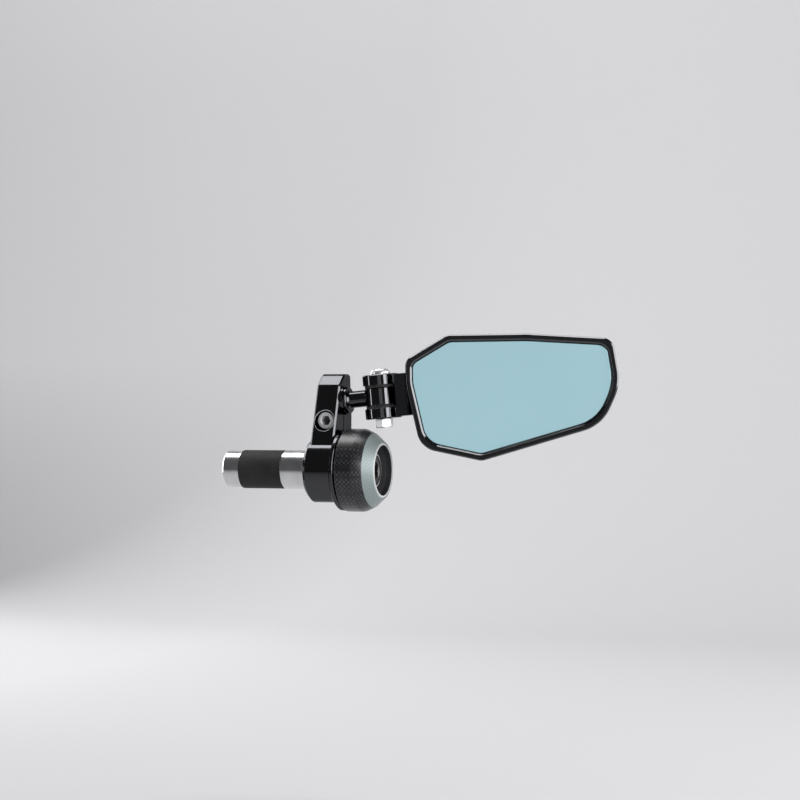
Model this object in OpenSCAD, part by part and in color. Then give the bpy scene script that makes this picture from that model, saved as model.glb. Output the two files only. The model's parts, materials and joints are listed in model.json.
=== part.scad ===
// Bar end mirror for the right-hand end of a motorcycle handlebar.
// X runs outboard along the bar, Y forward and Z up.
// The origin is on the bar's axis, at the face that meets the end of the bar.

/* [Bar plug] */
// Diameter of the plug inside the handlebar
plug_d = 17.6; // [12:0.1:19]
// Length of the adaptor's spigot inside the bar
spigot_l = 12; // [8:1:20]
// Outside diameter of the handlebar's end
bar_d = 22; // [20:0.5:26]
// Thickness of the shoulder against the end of the bar
shoulder_t = 1; // [0.6:0.1:3]
// Length of the expanding sleeve
sleeve_l = 20; // [14:1:30]
// Length of the wedge nut behind its cone
wedge_l = 8; // [6:0.5:12]
// Length of the wedge nut's cone inside the sleeve
cone_l = 7; // [4:0.5:9]
// Radius taken off the sleeve so that it slides into the bar
sleeve_slack = 0.2; // [0.1:0.05:0.4]

/* [Centre bolt] */
// Diameter of the centre bolt
bolt_d = 8; // [6:1:8]
// Diameter of the centre bolt's head
bolt_head_d = 15.6; // [13:0.2:16]
// Height of the centre bolt's head
bolt_head_h = 4.6; // [3:0.2:5]
// Width across the flats of the centre bolt's socket
bolt_key = 8; // [5:1:8]
// Diameter of the washer under the head
cap_washer_d = 18; // [16:0.5:20]
// Thickness of the washer under the head
cap_washer_t = 1; // [0.6:0.1:1.6]
// Depth of the centre bolt's socket
key_depth = 3.6; // [2:0.1:4.2]

/* [End cap] */
// Diameter of the carbon cap
cap_d = 36.8; // [34:0.2:44]
// Length of the carbon cap
cap_l = 16.5; // [14:0.5:24]
// Axial length of the cap's rounded bevel
bevel_l = 8.4; // [4:0.2:10]
// Thickness of the carbon shell
shell_t = 2; // [1.2:0.1:2.5]
// Diameter of the recess round the bolt's head
recess_d = 22.4; // [20:0.2:24]
// Depth of that recess
recess_h = 9.2; // [6:0.1:10]
// Width of the core's rim at the mouth of the recess
rim_w = 1.1; // [0.8:0.1:1.6]
// Diameter of the thin disc between clamp and cap
disc_d = 36; // [32:0.2:42]
// Thickness of the thin disc
disc_t = 2.2; // [1.6:0.1:4]
// Depth of the groove between disc and cap
groove_depth = 1.7; // [1:0.1:3]
// Width of the groove between disc and cap
groove_w = 0.6; // [0.4:0.1:1.5]

/* [Clamp arm] */
// Diameter of the hub that the clamp ring grips
hub_d = 20; // [18:0.5:21]
// Outside diameter of the clamp ring
ring_d = 29; // [27:0.5:33]
// Width of the clamp ring along the bar
ring_w = 14; // [12:0.5:18]
// Thickness of the arm along the bar
arm_t = 11; // [9.5:0.1:12]
// Setback of the arm's outboard face from the ring's
arm_inset = 0.9; // [0.5:0.1:1.2]
// Height of the arm's top above the bar's axis
arm_top = 42.7; // [42:0.1:48]
// Chamfer on the ring's inboard edge
ring_chamfer = 1.5; // [0.4:0.1:2]
// Chamfer round the arm's faces
arm_chamfer = 0.7; // [0.3:0.1:1]
// Width of the saw cut in the clamp
slot_w = 1.2; // [0.8:0.1:2]
// Height of the pinch screw above the bar's axis
pinch_z = 22; // [20:0.1:22.2]
// Diameter of the pinch screw
pinch_d = 5; // [4:1:5]
// Diameter of the pinch screw's head
pinch_head_d = 8.5; // [7:0.5:8.5]
// Height of the pinch screw's head
pinch_head_h = 5; // [4:0.5:5]
// Forward place of the pinch screw's seat
pinch_seat = 0.9; // [0:0.1:1.2]
// Length of the pinch screw under its head
pinch_l = 12; // [10:1:12]

/* [Knuckle] */
// Height of the knuckle's seat above the bar's axis
knuckle_z = 31; // [30.6:0.1:34]
// Forward place of the knuckle's seat and of the clamp's saw cut
knuckle_y = 4; // [3.5:0.1:4.5]
// Upward tilt of the knuckle's axis
tilt = 5.4; // [0:0.2:10]
// Proud height of the seat's centre outboard of the arm
seat_proud = 0.75; // [0.7:0.05:2]
// Diameter of the knuckle's flange
flange_d = 11.8; // [11:0.2:13]
// Thickness of the knuckle's flange
flange_t = 1.4; // [1:0.1:2.5]
// Diameter of the knuckle's neck
neck_d = 7.4; // [6.6:0.1:7.6]
// Distance from the seat to the pivot's axis
reach = 16.7; // [16:0.1:24]
// Diameter of the knuckle's barrel
barrel_d = 15.2; // [13:0.2:17]
// Height of the knuckle's barrel
barrel_h = 8; // [7:0.5:12]
// Diameter of the knuckle's screw
swivel_d = 4; // [3:1:4]
// Diameter of the knuckle screw's head
swivel_head_d = 7; // [6:0.5:7]
// Height of the knuckle screw's head
swivel_head_h = 4; // [3:0.5:4]
// Thickness of the spring washer under that head
spring_t = 0.8; // [0.5:0.1:1.2]
// Depth of that washer's seat behind the knuckle
swivel_seat = 5.5; // [5:0.1:6]
// Length of the knuckle's screw past the knuckle's seat
swivel_tip = 6.5; // [5:0.1:8]

/* [Pivot] */
// Diameter of the clevis ears
ear_d = 16.2; // [14:0.2:18]
// Thickness of each clevis ear
ear_t = 4.6; // [3.5:0.1:6]
// Thickness of each friction washer
friction_t = 1.2; // [0.6:0.1:2]
// Diameter of the pivot bolt
pivot_d = 4; // [3:1:5]
// Diameter of the pivot bolt's button head
button_d = 9.2; // [8:0.1:10]
// Height of the pivot bolt's button head
button_h = 2.75; // [2:0.05:3.5]
// Width across the flats of the pivot nut
nut_af = 7; // [7:0.5:9]
// Height of the pivot nut
nut_h = 4; // [3:0.5:5]
// Thickness of the bracket's foot behind the mirror
foot_t = 3; // [2.4:0.1:5]
// Distance from the pivot to the far end of the foot
foot_end = 44; // [40:1:60]

/* [Mirror] */
// Outboard turn of the mirror about its pivot
yaw = 15; // [0:1:30]
// Length of the housing across the rider's view
mirror_l = 93.2; // [86:0.2:110]
// Height of the housing
mirror_h = 56.2; // [50:0.2:66]
// Distance from the pivot's axis to the near side of the housing
mirror_start = 12.1; // [12:0.1:16]
// Distance from the pivot's axis to the back of the housing
back_z = 8.6; // [8.4:0.1:12]
// Depth of the housing from back to lip
housing_t = 7.9; // [7:0.1:12]
// Width of the housing's lip
lip_w = 2.9; // [2.2:0.1:4]
// Slope round the back of the housing
back_slope = 3.2; // [1:0.2:4]
// Chamfer on the lip's outer edge
lip_outer = 0.6; // [0.3:0.1:1]
// Chamfer on the lip's inner edge
lip_inner = 0.8; // [0.4:0.1:1]
// Depth of the glass below the lip
glass_sunk = 1.2; // [0.8:0.1:2]
// Thickness of the glass
glass_t = 2.2; // [1.8:0.1:3]
// Thickness of the adhesive pad behind the glass
pad_t = 0.8; // [0.5:0.1:1.2]
// Extra rounding of the glass's corners
glass_round = 2.5; // [0:0.5:4]
// Gap round the glass
glass_gap = 0.15; // [0.1:0.05:0.4]
// Diameter of the screws that hold the housing
screw_d = 3; // [2.5:0.5:3]
// Diameter of those screws' heads
screw_head_d = 5.5; // [4.5:0.5:6]
// Height of those screws' heads
screw_head_h = 1.6; // [1.2:0.1:2]

/* [Hidden] */
$fn = 96;

black = [0.06, 0.06, 0.07];
steel = [0.72, 0.73, 0.75];
carbon = [0.16, 0.17, 0.19];
rubber = [0.09, 0.09, 0.09];

// Clearances: radial running fit, radial gap of fixed pieces, and an overlap that cuts use
run_gap = 0.06;
fix_gap = 0.05;
cut = 1;
skin = 0.05;
head_gap = 0.3;

// Breaks of edges, from the finest to the cap's
fine = 0.3;
edge = 0.4;
cap_break = 0.5;
rim_break = 0.2;

// Stations along the bar
ring_x = shoulder_t;
ring_end = ring_x + ring_w;
disc_x = ring_end + 2 * fix_gap;
groove_x = disc_x + disc_t;
cap_x = groove_x + groove_w;
cap_end = cap_x + cap_l;
floor_x = cap_end - recess_h;
head_x = floor_x + cap_washer_t;
arm_end = ring_end - arm_inset;
arm_x = arm_end - arm_t;
sleeve_x = -spigot_l;
wedge_x = sleeve_x - sleeve_l;
cone_slope = 2.2;
core_r = cap_d / 2 - shell_t;
rim_r = recess_d / 2 + rim_w;
washer_r = cap_washer_d / 2;
wedge_break = 0.8;
cone_mouth = plug_d / 2 - 1;

// Knuckle stations, measured along its own axis from the seat
seat = [ring_end + seat_proud, knuckle_y, knuckle_z];
seat_r = flange_d / 2 + 0.6;
neck_fillet = 0.8;
seat_root = 3;
head_in = -swivel_seat - spring_t;
thread_room = 1;
pivot = seat + reach * [cos(tilt), 0, sin(tilt)];

// Pivot stations, measured along the pivot's axis from the middle of the barrel
ear_in = barrel_h / 2 + friction_t;
ear_out = ear_in + ear_t;
throat_r = barrel_d / 2 + 0.8;
root_x = 13;
root_y = 6;
root_front = 5.6;
root_step = 11.4;
neck_x = 22;

// Key sizes of the socket screws
pinch_key = 4;
swivel_key = 3;
button_key = 3;
screw_key = 2;

// Mirror stations, measured from the pivot's axis towards the rider
lip_z = back_z + housing_t;
glass_z = lip_z - glass_sunk;
pad_z = glass_z - glass_t;
pocket_z = pad_z - pad_t;
foot_z = back_z - foot_t;
pad_in = 1.5;
screw_near = 24;
screw_far = foot_end - 6;
screw_spots = [[screw_near, 0], [screw_far, 0]];
screw_web = 1;
screw_bite = 2.4;

// Radii of the outline's corners, and of the bends between them
top_r = mirror_h * 0.1246;
tip_r = mirror_h * 0.0979;
heel_r = mirror_h * 0.32;
toe_r = mirror_h * 0.107;
near_r = mirror_h * 0.08;
top_bend = mirror_h * 1.068;
tip_bend = mirror_h * 0.391;
root_bend = mirror_h * 0.178;
side_bend = mirror_h * 0.356;

// Corners of the mirror's outline from the pivot's axis, each with its radius
outline = [[[mirror_start + mirror_l * 0.2146, mirror_h * 0.4235], top_r],
           [[mirror_start + mirror_l * 0.5858, mirror_h * 0.3754], top_bend],
           [[mirror_start + mirror_l * 0.9828, mirror_h * 0.2776], tip_r],
           [[mirror_start + mirror_l, mirror_h * -0.0836], tip_bend],
           [[mirror_start + mirror_l * 0.8981, mirror_h * -0.3843], heel_r],
           [[mirror_start + mirror_l * 0.324, mirror_h * -0.5765], toe_r],
           [[mirror_start + mirror_l * 0.044, mirror_h * -0.4342], root_bend],
           [[mirror_start, mirror_h * 0.0765], side_bend],
           [[mirror_start + mirror_l * 0.0086, mirror_h * 0.258], near_r]];

// Corners of the arm's side from the bar's axis, forward and up, each with its radius
arm_facet = 5;
arm_bend = 20;
arm_front_r = 4;
arm_rear_r = 3;
arm_side = [[[-11.9, 3], 0.1], [[-0.8, arm_top - arm_facet], arm_rear_r], [[5.2, arm_top], arm_front_r],
            [[12.4, arm_top], 1.6], [[14.2, 24], arm_bend], [[13.5, 3], 0.1]];

// Corners of the bracket in plan, each with its radius
bracket_plan = [[[0, -root_front], 0.1], [[root_step, -root_front], 1],
                [[root_step + back_z - root_front, -back_z], 0.1], [[foot_end, -back_z], 0.1],
                [[foot_end, -foot_z], 1.4], [[neck_x, -foot_z], 6], [[root_x, root_y], 5],
                [[0, ear_d / 2], 0.1]];

function unit(v) = v / norm(v);

// Points of a closed outline with each corner rounded, moved inwards by inset
function rounded(corners, inset = 0, extra = 0, steps = 6) =
    let (n = len(corners))
    [for (i = [0:n - 1])
        let (here = corners[i][0],
             to_prev = unit(corners[(i + n - 1) % n][0] - here),
             to_next = unit(corners[(i + 1) % n][0] - here),
             turn = sign(to_prev.y * to_next.x - to_prev.x * to_next.y),
             half = acos(to_prev * to_next) / 2,
             r = max(corners[i][1] + extra - inset, 0.1),
             mid = unit(to_prev + to_next),
             tip = here + mid * inset / sin(half),
             centre = tip + mid * r / sin(half),
             start = tip + to_prev * r / tan(half) - centre,
             a0 = atan2(start.y, start.x),
             sweep = turn * (180 - 2 * half))
        for (j = [0:steps]) centre + r * [cos(a0 + sweep * j / steps), sin(a0 + sweep * j / steps)]];

// A turned piece along X, from points of place along the axis and radius
module turned(points) {
    rotate([0, 90, 0])
        rotate_extrude()
            polygon([for (p = points) [p[1], p[0]]]);
}

// A plain rod along X
module rod(x0, x1, r) {
    translate([x0, 0, 0])
        rotate([0, 90, 0])
            cylinder(r = r, h = x1 - x0);
}

// A hexagon's bar along Z, for nuts and key sockets
module hexagon(af, h) {
    cylinder(d = af / cos(30), h = h, $fn = 6);
}

// A disc along Z with both rims chamfered
module chamfered_disc(r, h, c) {
    rotate_extrude()
        polygon([[0, 0], [r - c, 0], [r, c], [r, h - c], [r - c, h], [0, h]]);
}

// A thin slice of an outline from one height up
module slice(points, z, t = skin) {
    translate([0, 0, z])
        linear_extrude(t)
            polygon(points);
}

module knuckle_frame() {
    translate(seat)
        rotate([0, -tilt, 0])
            children();
}

module head_frame() {
    translate(pivot)
        rotate([0, -tilt, 0])
            rotate([0, 0, yaw])
                children();
}

// Outline plane of the mirror, with Z towards the rider
module glass_frame() {
    head_frame()
        rotate([90, 0, 0])
            children();
}

// Frame of the pinch screw, with Z out of the arm's rear half and the origin under the head
module pinch_frame() {
    translate([(arm_x + arm_end) / 2, pinch_seat, pinch_z])
        rotate([-90, 0, 0])
            children();
}

module bar_adaptor() {
    color(steel)
        difference() {
            turned([[-spigot_l, 0], [-spigot_l, plug_d / 2 - edge], [edge - spigot_l, plug_d / 2],
                    [0, plug_d / 2], [0, bar_d / 2], [shoulder_t, bar_d / 2], [shoulder_t, hub_d / 2],
                    [disc_x, hub_d / 2], [disc_x, 0]]);
            rod(-spigot_l - cut, disc_x + cut, bolt_d / 2 + fix_gap);
        }
}

module expander_sleeve() {
    color(rubber)
        difference() {
            rod(wedge_x, sleeve_x, plug_d / 2 - sleeve_slack);
            rod(wedge_x - cut, sleeve_x + cut, bolt_d / 2 + 4 * fix_gap);
            turned([[wedge_x - skin, 0], [wedge_x - skin, cone_mouth], [wedge_x, cone_mouth],
                    [wedge_x + cone_l, cone_mouth - cone_slope], [wedge_x + cone_l, 0]]);
        }
}

module wedge_nut() {
    color(steel)
        difference() {
            turned([[wedge_x - wedge_l, 0], [wedge_x - wedge_l, plug_d / 2 - edge - wedge_break],
                    [wedge_x - wedge_l + wedge_break, plug_d / 2 - edge], [wedge_x, plug_d / 2 - edge],
                    [wedge_x, cone_mouth - fix_gap],
                    [wedge_x + cone_l - fix_gap, cone_mouth - cone_slope - fix_gap],
                    [wedge_x + cone_l - fix_gap, 0]]);
            rod(wedge_x - wedge_l - cut, wedge_x + cone_l + cut, bolt_d / 2 + fix_gap);
        }
}

module centre_bolt() {
    color(black)
        difference() {
            turned([[wedge_x - wedge_l, 0], [wedge_x - wedge_l, bolt_d / 2 - edge],
                    [wedge_x - wedge_l + edge, bolt_d / 2], [head_x, bolt_d / 2], [head_x, bolt_head_d / 2],
                    [head_x + bolt_head_h - edge, bolt_head_d / 2],
                    [head_x + bolt_head_h, bolt_head_d / 2 - edge], [head_x + bolt_head_h, 0]]);
            translate([head_x + bolt_head_h - key_depth, 0, 0])
                rotate([0, 90, 0])
                    hexagon(bolt_key, bolt_head_h);
        }
}

module cap_washer() {
    color(steel)
        difference() {
            rod(floor_x, head_x, washer_r);
            rod(floor_x - cut, head_x + cut, bolt_d / 2 + 3 * fix_gap);
        }
}

module end_disc() {
    color(black)
        difference() {
            turned([[disc_x, 0], [disc_x, disc_d / 2 - cap_break], [disc_x + cap_break, disc_d / 2],
                    [groove_x - cap_break, disc_d / 2], [groove_x, disc_d / 2 - cap_break],
                    [groove_x, disc_d / 2 - groove_depth], [cap_x, disc_d / 2 - groove_depth], [cap_x, 0]]);
            rod(disc_x - cut, cap_x + cut, bolt_d / 2 + 3 * fix_gap);
        }
}

// Turned weight inside the carbon shell, with the cup for the bolt's head
module cap_core() {
    color(black)
        difference() {
            turned([[cap_x, 0], [cap_x, core_r], [cap_end - bevel_l - shell_t, core_r],
                    [cap_end - shell_t, rim_r], [cap_end - edge, rim_r], [cap_end, rim_r - edge],
                    [cap_end, 0]]);
            rod(floor_x, cap_end + cut, recess_d / 2);
            rod(cap_x - cut, floor_x + cut, bolt_d / 2 + 3 * fix_gap);
        }
}

// Moulded carbon shell whose side rounds over in a long bevel to the rim
module end_cap() {
    bevel_r = cap_d / 2 - rim_r - fine;
    bevel_curve = 1.4;
    color(carbon)
        difference() {
            turned(concat([[cap_x, 0], [cap_x, cap_d / 2 - cap_break], [cap_x + cap_break, cap_d / 2]],
                          [for (t = [0:0.1:1])
                              [cap_end - rim_break - (bevel_l - rim_break) * (1 - t),
                               cap_d / 2 - bevel_r * pow(t, bevel_curve)]],
                          [[cap_end - rim_break, 0]]));
            turned([[cap_x - cut, 0], [cap_x - cut, core_r + fix_gap],
                    [cap_end - bevel_l - shell_t, core_r + fix_gap],
                    [cap_end - shell_t, rim_r + fix_gap], [cap_end + cut, rim_r + fix_gap],
                    [cap_end + cut, 0]]);
        }
}

module clamp_arm() {
    pinch_run_out = 12;
    thread_end = 0.6;
    slot_top = pinch_z + pinch_d / 2 + edge;
    color(black)
        difference() {
            union() {
                turned([[ring_x, 0], [ring_x, ring_d / 2 - ring_chamfer],
                        [ring_x + ring_chamfer, ring_d / 2], [ring_end - cap_break, ring_d / 2],
                        [ring_end, ring_d / 2 - cap_break], [ring_end, 0]]);
                rotate([90, 0, 90])
                    hull() {
                        slice(rounded(arm_side, arm_chamfer), arm_x, arm_t);
                        slice(rounded(arm_side), arm_x + arm_chamfer, arm_t - 2 * arm_chamfer);
                    }
                knuckle_frame()
                    rod(-seat_root, 0, seat_r);
            }
            rod(ring_x - cut, ring_end + cut, hub_d / 2 + run_gap);
            translate([ring_x - cut, knuckle_y - slot_w / 2, 0])
                cube([ring_w + 2 * cut, slot_w, slot_top]);
            translate([0, knuckle_y, slot_top])
                rod(ring_x - cut, ring_end + cut, slot_w / 2 + rim_break);
            pinch_frame() {
                translate([0, 0, -pinch_run_out])
                    cylinder(r = pinch_head_d / 2 + head_gap, h = pinch_run_out);
                cylinder(r = pinch_d / 2 + fix_gap, h = pinch_l + thread_end);
            }
            knuckle_frame() {
                rod(-ring_w, cut, swivel_d / 2 + run_gap);
                rod(-ring_w, -swivel_seat, swivel_head_d / 2 + head_gap);
            }
        }
}

module socket_screw(d, head_d, head_h, l, key) {
    difference() {
        union() {
            translate([0, 0, -head_h])
                chamfered_disc(head_d / 2, head_h, fine);
            cylinder(d = d, h = l);
        }
        translate([0, 0, -head_h - cut])
            hexagon(key, head_h * 0.5 + cut);
    }
}

module pinch_screw() {
    color(steel)
        pinch_frame()
            socket_screw(pinch_d, pinch_head_d, pinch_head_h, pinch_l, pinch_key);
}

// Flange, neck and drilled barrel in one piece
module knuckle() {
    color(black)
        knuckle_frame()
            difference() {
                union() {
                    turned([[0, 0], [0, flange_d / 2 - fine], [fine, flange_d / 2],
                            [flange_t - fine, flange_d / 2], [flange_t, flange_d / 2 - fine],
                            [flange_t, neck_d / 2 + neck_fillet], [flange_t + neck_fillet, neck_d / 2],
                            [reach, neck_d / 2], [reach, 0]]);
                    translate([reach, 0, -barrel_h / 2])
                        chamfered_disc(barrel_d / 2, barrel_h, edge);
                }
                translate([reach, 0, -barrel_h])
                    cylinder(r = pivot_d / 2 + run_gap, h = 2 * barrel_h);
                rod(-cut, swivel_tip + thread_room, swivel_d / 2 + fix_gap);
            }
}

module knuckle_screw() {
    color(steel)
        knuckle_frame()
            translate([head_in, 0, 0])
                rotate([0, 90, 0])
                    socket_screw(swivel_d, swivel_head_d, swivel_head_h, swivel_tip - head_in, swivel_key);
}

module spring_washer() {
    color(steel)
        knuckle_frame()
            difference() {
                rod(head_in, -swivel_seat, swivel_head_d / 2);
                rod(head_in - cut, cut - swivel_seat, swivel_d / 2 + fix_gap);
            }
}

// Two round ears, a solid root and a foot that carries the housing
module clevis_bracket() {
    color(black)
        head_frame()
            difference() {
                union() {
                    translate([0, 0, -ear_out])
                        chamfered_disc(ear_d / 2, 2 * ear_out, edge);
                    translate([0, 0, edge - ear_out])
                        linear_extrude(2 * (ear_out - edge))
                            polygon(rounded(bracket_plan));
                }
                translate([0, 0, -ear_in])
                    cylinder(r = throat_r, h = 2 * ear_in);
                translate([-ear_d, -ear_d, -ear_in])
                    cube([ear_d, 2 * ear_d, 2 * ear_in]);
                translate([0, 0, -ear_out - cut])
                    cylinder(r = pivot_d / 2 + fix_gap, h = 2 * (ear_out + cut));
                rotate([90, 0, 0])
                    for (spot = screw_spots)
                        translate([spot.x, spot.y, 0]) {
                            cylinder(r = screw_d / 2 + fix_gap, h = back_z + cut);
                            cylinder(r = screw_head_d / 2 + rim_break, h = foot_z + screw_web);
                        }
            }
}

module pivot_bolt() {
    side_h = 0.6;
    dome_w = 1.6;
    dome = [for (a = [0:15:90])
                [button_d / 2 - dome_w * (1 - cos(a)), side_h + (button_h - side_h) * sin(a)]];
    color(steel)
        head_frame()
            difference() {
                union() {
                    translate([0, 0, ear_out])
                        rotate_extrude()
                            polygon(concat([[0, 0], [button_d / 2, 0]], dome, [[0, button_h]]));
                    translate([0, 0, -ear_out - nut_h])
                        cylinder(d = pivot_d, h = 2 * ear_out + nut_h);
                }
                translate([0, 0, ear_out + button_h * 0.35])
                    hexagon(button_key, button_h);
            }
}

module pivot_nut() {
    corner = nut_af / 2 / cos(30);
    nut_chamfer = 0.6;
    nut_turn = 20;
    color(steel)
        head_frame()
            rotate([0, 0, nut_turn])
                translate([0, 0, -ear_out - nut_h])
                    difference() {
                        intersection() {
                            hexagon(nut_af, nut_h);
                            rotate_extrude()
                                polygon([[0, 0], [nut_af / 2 - rim_break, 0], [corner, nut_chamfer],
                                         [corner, nut_h], [0, nut_h]]);
                        }
                        translate([0, 0, -cut])
                            cylinder(r = pivot_d / 2 + fix_gap, h = nut_h + 2 * cut);
                    }
}

module friction_washer(z) {
    color(rubber)
        head_frame()
            translate([0, 0, z])
                difference() {
                    cylinder(d = barrel_d - edge, h = friction_t);
                    translate([0, 0, -cut])
                        cylinder(r = pivot_d / 2 + fix_gap, h = friction_t + 2 * cut);
                }
}

module upper_friction_washer() friction_washer(barrel_h / 2);

module lower_friction_washer() friction_washer(-barrel_h / 2 - friction_t);

// Machined dish with a sloped back, a chamfered lip and a pocket for the glass
module mirror_housing() {
    color(black)
        glass_frame()
            difference() {
                hull() {
                    slice(rounded(outline, back_slope), back_z);
                    slice(rounded(outline, lip_outer), lip_z - skin);
                    slice(rounded(outline), back_z + back_slope, housing_t - back_slope - lip_outer);
                }
                hull() {
                    slice(rounded(outline, lip_w - lip_inner, glass_round), lip_z);
                    slice(rounded(outline, lip_w, glass_round), lip_z - lip_inner - skin);
                }
                slice(rounded(outline, lip_w, glass_round), pocket_z, housing_t);
                for (spot = screw_spots)
                    translate([spot.x, spot.y, back_z - cut])
                        cylinder(r = screw_d / 2 + fix_gap, h = screw_bite + edge + cut);
            }
}

module glass_pad() {
    color(rubber)
        glass_frame()
            translate([0, 0, pocket_z])
                linear_extrude(pad_t)
                    polygon(rounded(outline, lip_w + pad_in, glass_round));
}

module mirror_glass() {
    color([0.55, 0.72, 0.78])
        glass_frame()
            translate([0, 0, pad_z])
                linear_extrude(glass_t)
                    polygon(rounded(outline, lip_w + glass_gap, glass_round));
}

module housing_screws() {
    color(steel)
        glass_frame()
            for (spot = screw_spots)
                translate([spot.x, spot.y, foot_z + screw_web])
                    socket_screw(screw_d, screw_head_d, screw_head_h,
                                 back_z + screw_bite - foot_z - screw_web, screw_key);
}

bar_adaptor();
expander_sleeve();
wedge_nut();
centre_bolt();
cap_washer();
end_disc();
cap_core();
end_cap();
clamp_arm();
pinch_screw();
knuckle();
knuckle_screw();
spring_washer();
clevis_bracket();
pivot_bolt();
pivot_nut();
upper_friction_washer();
lower_friction_washer();
mirror_housing();
glass_pad();
mirror_glass();
housing_screws();
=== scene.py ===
import json
import math
import bpy
from mathutils import Matrix, Vector


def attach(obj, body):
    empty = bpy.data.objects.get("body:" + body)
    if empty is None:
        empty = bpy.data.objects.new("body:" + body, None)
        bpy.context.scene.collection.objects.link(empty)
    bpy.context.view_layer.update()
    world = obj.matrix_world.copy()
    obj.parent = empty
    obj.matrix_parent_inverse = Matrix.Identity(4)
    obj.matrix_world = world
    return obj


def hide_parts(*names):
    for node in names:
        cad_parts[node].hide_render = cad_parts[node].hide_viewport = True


mm = 0.001  # the scene is in metres

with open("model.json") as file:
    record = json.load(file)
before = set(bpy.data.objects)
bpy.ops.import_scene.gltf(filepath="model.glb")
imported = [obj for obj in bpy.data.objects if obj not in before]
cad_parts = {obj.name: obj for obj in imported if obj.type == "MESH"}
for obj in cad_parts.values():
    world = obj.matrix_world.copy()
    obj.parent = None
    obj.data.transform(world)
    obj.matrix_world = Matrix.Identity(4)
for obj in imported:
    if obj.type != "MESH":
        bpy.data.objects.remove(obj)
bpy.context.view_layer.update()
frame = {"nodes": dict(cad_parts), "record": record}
nodes = frame["nodes"]
record = frame["record"]
print("frame loaded:", len(nodes), "nodes")


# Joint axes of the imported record, which place what sits on the tilted pieces
def jointPlace(name):
    joint = next(j for j in record["behaviour"]["joints"] if j["name"] == name)
    return Vector(joint["pos_m"]), Vector(joint["axis"]).normalized()


knuckleSeat, knuckleAxis = jointPlace("mirror_tilt")
pivotCentre, pivotAxis = jointPlace("mirror_fold")
pinchCentre = Vector((8.6, 0, 22)) * mm  # axis of the pinch screw, which points forward
barTurn = (0, math.radians(90), 0)  # lays a pattern's Z along the bar
pinchTurn = (math.radians(-90), 0, 0)  # and along the pinch screw
turnedDepth = 0.01 * mm  # of the marks that turning leaves


# Short calls for building node trees
class Tree:
    def __init__(self, nodeTree):
        self.tree = nodeTree

    def add(self, kind, **settings):
        node = self.tree.nodes.new(kind)
        for key, value in settings.items():
            setattr(node, key, value)
        return node

    def put(self, socket, value):
        if isinstance(value, bpy.types.NodeSocket):
            self.tree.links.new(value, socket)
        else:
            socket.default_value = value

    def math(self, operation, *values):
        node = self.add("ShaderNodeMath", operation=operation)
        for socket, value in zip(node.inputs, values):
            self.put(socket, value)
        return node.outputs[0]

    def ramp(self, value, low, high, fromMin=0.0, fromMax=1.0):
        node = self.add("ShaderNodeMapRange")
        self.put(node.inputs["Value"], value)
        node.inputs["From Min"].default_value = fromMin
        node.inputs["From Max"].default_value = fromMax
        node.inputs["To Min"].default_value = low
        node.inputs["To Max"].default_value = high
        return node.outputs["Result"]

    # A Mix node for colours takes them at sockets 6 and 7, and gives its colour at output 2
    def mix(self, mask, first, second):
        node = self.add("ShaderNodeMix", data_type="RGBA")
        self.put(node.inputs["Factor"], mask)
        self.put(node.inputs[6], first)
        self.put(node.inputs[7], second)
        return node.outputs[2]

    # A colour times a number
    def tint(self, colour, strength):
        node = self.add("ShaderNodeMix", data_type="RGBA", blend_type="MULTIPLY")
        node.inputs["Factor"].default_value = 1.0
        self.put(node.inputs[6], colour)
        self.put(node.inputs[7], strength)
        return node.outputs[2]

    # Numbers go to sockets 2 and 3
    def choose(self, mask, first, second):
        node = self.add("ShaderNodeMix", data_type="FLOAT")
        self.put(node.inputs[0], mask)
        self.put(node.inputs[2], first)
        self.put(node.inputs[3], second)
        return node.outputs[0]

    def axes(self, vector):
        node = self.add("ShaderNodeSeparateXYZ")
        self.put(node.inputs[0], vector)
        return node.outputs

    def noise(self, vector, scale, detail=2.0):
        node = self.add("ShaderNodeTexNoise")
        self.put(node.inputs["Vector"], vector)
        self.put(node.inputs["Scale"], scale)
        node.inputs["Detail"].default_value = detail
        return node.outputs["Fac"]

    def lineNoise(self, along, detail=2.0):
        node = self.add("ShaderNodeTexNoise", noise_dimensions="1D")
        self.put(node.inputs["W"], along)
        node.inputs["Scale"].default_value = 1.0
        node.inputs["Detail"].default_value = detail
        return node.outputs["Fac"]

    def bump(self, height, strength, distance, normal=None):
        node = self.add("ShaderNodeBump")
        node.inputs["Strength"].default_value = strength
        node.inputs["Distance"].default_value = distance
        self.put(node.inputs["Height"], height)
        if normal is not None:
            self.put(node.inputs["Normal"], normal)
        return node.outputs["Normal"]

    def objectPlace(self, turn=(0.0, 0.0, 0.0), centre=(0.0, 0.0, 0.0)):
        coords = self.add("ShaderNodeTexCoord")
        mapping = self.add("ShaderNodeMapping", vector_type="TEXTURE")
        mapping.inputs["Location"].default_value = centre
        mapping.inputs["Rotation"].default_value = turn
        self.put(mapping.inputs["Vector"], coords.outputs["Object"])
        return mapping.outputs["Vector"]

    def use(self, group, **values):
        node = self.add("ShaderNodeGroup", node_tree=group)
        for name, value in values.items():
            self.put(node.inputs[name], value)
        return node


def newGroup(name, inputs, outputs):
    group = bpy.data.node_groups.new(name, "ShaderNodeTree")
    for label, kind, start in inputs:
        socket = group.interface.new_socket(label, in_out="INPUT", socket_type=kind)
        if start is not None:
            socket.default_value = start
    for label, kind in outputs:
        group.interface.new_socket(label, in_out="OUTPUT", socket_type=kind)
    tree = Tree(group)
    return group, tree, tree.add("NodeGroupInput"), tree.add("NodeGroupOutput")


number, vectorKind = "NodeSocketFloat", "NodeSocketVector"


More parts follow.
